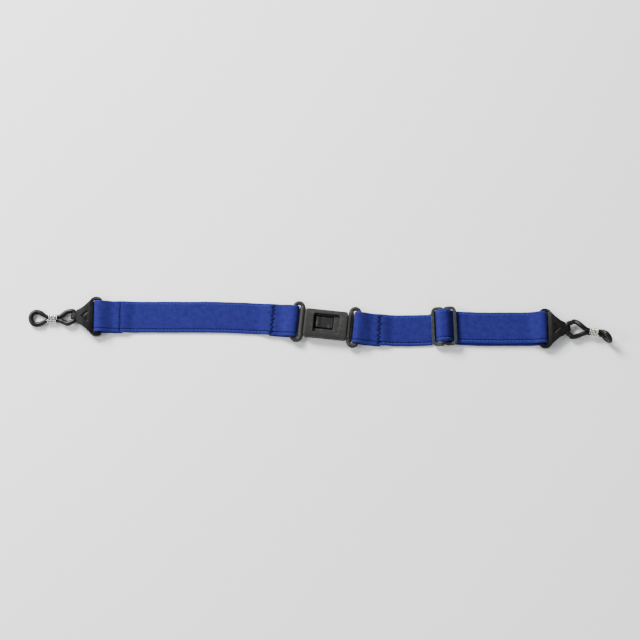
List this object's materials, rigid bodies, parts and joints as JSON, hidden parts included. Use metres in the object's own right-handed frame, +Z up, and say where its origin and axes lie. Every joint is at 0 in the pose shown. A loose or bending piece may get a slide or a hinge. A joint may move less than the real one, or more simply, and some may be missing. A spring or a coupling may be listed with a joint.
{
  "type": "eyeglasses strap",
  "caption": "Flat webbing eyeglasses strap with rubber temple loops, wire ferrules, moulded end connectors, a breakaway buckle and a length slider.",
  "frame": {"origin": "centre of the laid-out strap's box, on the surface it lies on", "axes": "+X along the strap from the left rubber loop to the right one, +Y across the webbing, +Z up"},
  "size_m": [0.294, 0.0266, 0.0077],
  "materials": {
    "rubber": "black, soft gloss",
    "wire": "bright plated wire",
    "plastic": "moulded, fine grain, satin",
    "slider_plastic": "moulded, worn satin",
    "webbing": "woven, matt",
    "thread": "sewing thread"
  },
  "bodies": {
    "socket": {"buckle_socket": "plastic"},
    "plug": {"buckle_plug": "plastic"},
    "latch": {"latch_tongue": "plastic"},
    "left_strap": {"left_webbing": "webbing", "left_end_stitches": "thread", "left_buckle_stitches": "thread", "left_hem_thread": "thread", "left_edge_thread": "thread"},
    "left_connector": {"left_end_connector": "plastic"},
    "left_loop": {"left_rubber_loop": "rubber"},
    "left_ferrule": {"left_coil_ferrule": "wire"},
    "right_strap": {"right_webbing": "webbing", "right_buckle_stitches": "thread", "right_hem_thread": "thread", "right_edge_thread": "thread"},
    "slider": {"slider_frame": "slider_plastic", "webbing_over_bar": "webbing", "webbing_sewn_end": "webbing"},
    "end_fold": {"upper_run": "webbing", "lower_run": "webbing", "webbing_end_fold": "webbing", "run_hem_thread": "thread", "run_edge_thread": "thread"},
    "right_connector": {"right_end_connector": "plastic"},
    "right_loop": {"right_rubber_loop": "rubber"},
    "right_ferrule": {"right_coil_ferrule": "wire"}
  },
  "joints": [
    {"name": "left_strap_swing", "type": "hinge", "parent": "socket", "child": "left_strap", "pos_m": [-0.0134, 0.00061, 0.00255], "axis": [0.1045, 0.9945, 0], "range_deg": [-70, 70]},
    {"name": "left_connector_swing", "type": "hinge", "parent": "left_strap", "child": "left_connector", "pos_m": [-0.11151, 0.00307, 0.00255], "axis": [0, 1, 0], "range_deg": [-70, 70]},
    {"name": "left_loop_swing", "type": "hinge", "parent": "left_connector", "child": "left_loop", "pos_m": [-0.12361, 0.00307, 0.00235], "axis": [0, 1, 0], "range_deg": [-60, 60]},
    {"name": "left_ferrule_slide", "type": "slide", "parent": "left_loop", "child": "left_ferrule", "axis": [1, 0, 0], "range_m": [-0.0015, 0.0015], "deforming": ["left_rubber_loop"]},
    {"name": "buckle_release", "type": "slide", "parent": "socket", "child": "plug", "axis": [0.9945, -0.1045, 0], "range_m": [0, 0.018]},
    {"name": "latch_press", "type": "hinge", "parent": "plug", "child": "latch", "pos_m": [0.00608, -0.00063, 0.00255], "axis": [-0.1045, -0.9945, 0], "range_deg": [0, 6], "stiffness_Nm_per_rad": 0.02},
    {"name": "right_strap_swing", "type": "hinge", "parent": "plug", "child": "right_strap", "pos_m": [0.01917, -0.00281, 0.00255], "axis": [0.1045, 0.9945, 0], "range_deg": [-70, 70]},
    {"name": "slider_slide", "type": "slide", "parent": "right_strap", "child": "slider", "axis": [1, 0, 0], "range_m": [-0.012, 0.04], "deforming": ["right_webbing", "right_hem_thread", "right_edge_thread"]},
    {"name": "end_follow", "type": "slide", "parent": "slider", "child": "end_fold", "axis": [1, 0, 0], "range_m": [-0.02, 0.006], "deforming": ["upper_run", "lower_run", "run_hem_thread", "run_edge_thread"]},
    {"name": "right_connector_swing", "type": "hinge", "parent": "end_fold", "child": "right_connector", "pos_m": [0.11209, -0.00311, 0.00255], "axis": [0, 1, 0], "range_deg": [-70, 70]},
    {"name": "right_loop_swing", "type": "hinge", "parent": "right_connector", "child": "right_loop", "pos_m": [0.12419, -0.00311, 0.00235], "axis": [0, 1, 0], "range_deg": [-60, 60]},
    {"name": "right_ferrule_slide", "type": "slide", "parent": "right_loop", "child": "right_ferrule", "axis": [0.9903, -0.1392, 0], "range_m": [-0.0015, 0.0015], "deforming": ["right_rubber_loop"]}
  ],
  "couplings": [
    {"joint": "end_follow", "follows": "slider_slide", "ratio": -0.5}
  ]
}
